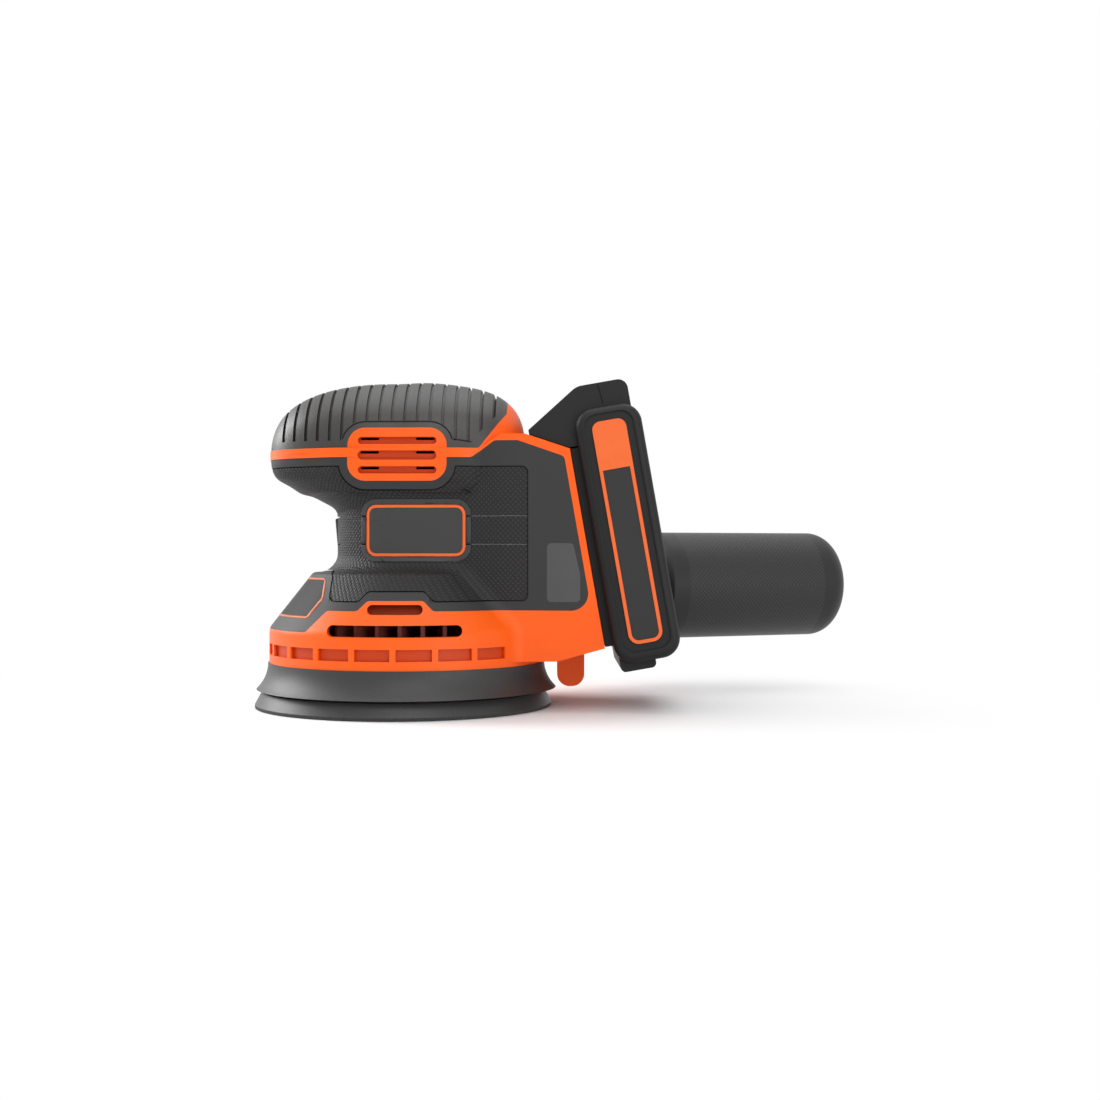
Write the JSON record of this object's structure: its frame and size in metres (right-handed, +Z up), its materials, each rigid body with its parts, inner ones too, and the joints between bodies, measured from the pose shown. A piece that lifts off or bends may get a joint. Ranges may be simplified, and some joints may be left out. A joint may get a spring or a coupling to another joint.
{
  "type": "orbital sander",
  "caption": "Cordless palm sander with a round orbiting pad, ribbed grip, slide-on battery pack and dust canister.",
  "frame": {"origin": "on the motor axis at the sanding face", "axes": "+Z up along the motor axis, +X rearward to the battery, -Y the side seen in the picture"},
  "size_m": [0.2672, 0.1842, 0.136],
  "materials": {
    "orange_shell": "satin moulded ABS, orange",
    "grip_rubber": "textured dark grey elastomer",
    "plate_dark": "smooth dark inlay, left bare",
    "patch_grey": "smooth grey patch, left bare",
    "skirt_rubber": "matt grey elastomer",
    "screw_steel": "zinc plated steel",
    "motor_steel": "plated steel",
    "bearing_steel": "ground bearing steel",
    "motor_plastic": "black nylon",
    "cushion_rubber": "black rubber",
    "magnet_ferrite": "dark sintered metal",
    "copper": "bare copper",
    "impeller_nylon": "glass filled nylon",
    "hub_alloy": "die cast alloy",
    "backing_plastic": "glass filled nylon",
    "pad_foam": "dense dark foam",
    "hook_fabric": "hook fabric",
    "rocker_rubber": "soft black switch cover",
    "pack_black": "black moulded ABS",
    "pack_label": "printed film, plain blocks",
    "cell_wrap": "wrapped cells with nickel straps",
    "button_black": "black moulded ABS",
    "canister_black": "finely textured dark plastic",
    "filter_plastic": "grey plastic"
  },
  "bodies": {
    "housing": {"housing_left": "orange_shell", "housing_right": "orange_shell", "grip_left": "grip_rubber", "grip_right": "grip_rubber", "top_grip": "grip_rubber", "front_plate": "plate_dark", "badge_plate": "plate_dark", "rating_patch": "patch_grey", "dust_skirt": "skirt_rubber", "housing_screws": "screw_steel", "motor_can": "motor_steel", "motor_end_bell": "motor_plastic", "motor_cushion": "cushion_rubber", "motor_magnets": "magnet_ferrite", "motor_brushes": "copper", "motor_bearing_lower": "bearing_steel", "motor_bearing_upper": "bearing_steel", "rocker_pin": "screw_steel", "switch_body": "motor_plastic", "terminal_block": "motor_plastic", "terminal_blades": "copper"},
    "rotor": {"motor_shaft": "motor_steel", "armature_core": "motor_steel", "armature_windings": "copper", "commutator": "copper", "impeller": "impeller_nylon", "eccentric_hub": "hub_alloy", "counterweight": "magnet_ferrite", "platen_bearing_outer": "bearing_steel", "platen_bearing_balls": "bearing_steel"},
    "platen": {"platen_bearing_inner": "bearing_steel", "platen_spindle": "motor_steel", "platen_screws": "screw_steel", "backing_plate": "backing_plastic", "foam_pad": "pad_foam", "hook_face": "hook_fabric"},
    "battery": {"battery_front_case": "pack_black", "battery_rear_case": "pack_black", "battery_label": "pack_label", "battery_cells": "cell_wrap", "cell_straps": "cell_wrap", "battery_contacts": "copper"},
    "release": {"release_button": "button_black"},
    "rocker": {"switch_rocker": "rocker_rubber"},
    "canister": {"canister_collar": "canister_black", "canister_sleeve": "canister_black", "canister_cap": "canister_black", "filter_frame": "filter_plastic"}
  },
  "joints": [
    {"name": "rotor_spin", "type": "hinge", "parent": "housing", "child": "rotor", "pos_m": [0, 0, 0.06], "axis": [0, 0, 1], "continuous": true},
    {"name": "platen_spin", "type": "hinge", "parent": "rotor", "child": "platen", "pos_m": [-0.00125, 0, 0.016], "axis": [0, 0, 1], "continuous": true},
    {"name": "battery_slide", "type": "slide", "parent": "housing", "child": "battery", "axis": [-0.1736, 0, 0.9848], "range_m": [0, 0.085]},
    {"name": "release_press", "type": "slide", "parent": "battery", "child": "release", "axis": [0.6726, 0, -0.74], "range_m": [0, 0.0025]},
    {"name": "rocker_tilt", "type": "hinge", "parent": "housing", "child": "rocker", "pos_m": [-0.0266, 0, 0.07], "axis": [0, 1, 0], "range_deg": [0, 10]},
    {"name": "canister_slide", "type": "slide", "parent": "housing", "child": "canister", "axis": [0.9272, 0.3746, 0], "range_m": [0, 0.04]}
  ]
}
